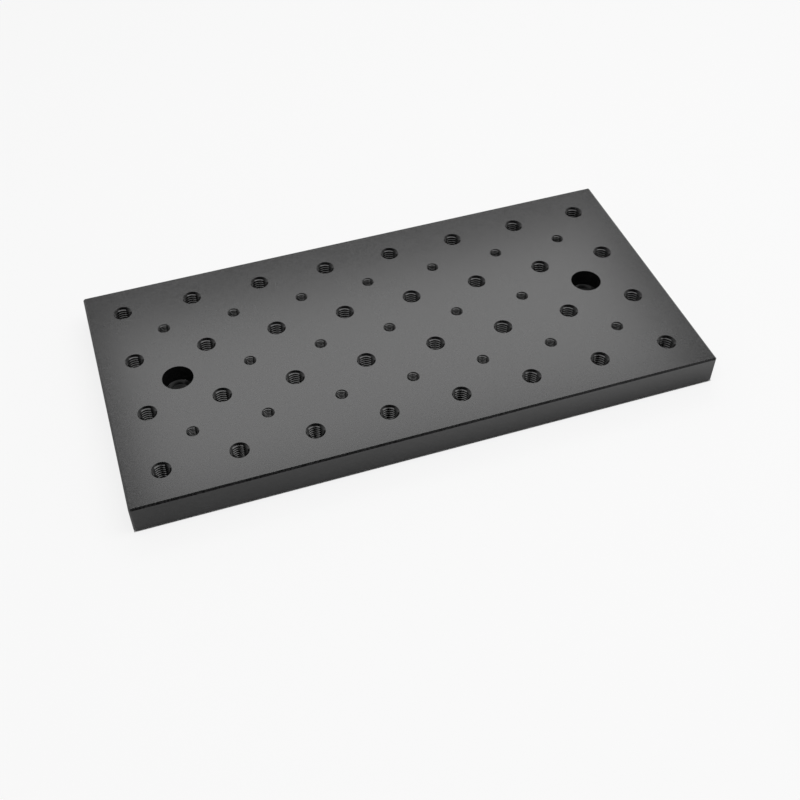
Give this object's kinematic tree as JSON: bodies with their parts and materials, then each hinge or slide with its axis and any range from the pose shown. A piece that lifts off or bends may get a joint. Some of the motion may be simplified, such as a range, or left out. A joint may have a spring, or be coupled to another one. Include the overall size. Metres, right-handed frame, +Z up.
{
  "type": "optical breadboard",
  "caption": "Solid rectangular optical breadboard plate with a regular grid of tapped holes, a smaller tapped hole inside each grid square and counterbored mounting holes near both ends.",
  "frame": {"origin": "middle of the plate's underside", "axes": "+Z up, out of the top face with the counterbores; +X along the plate's length"},
  "size_m": [0.2, 0.1, 0.011],
  "materials": {
    "black_anodised_aluminium": "fine bead-blasted, matt black anodised"
  },
  "bodies": {
    "root": {"breadboard_plate": "black_anodised_aluminium"}
  },
  "joints": []
}
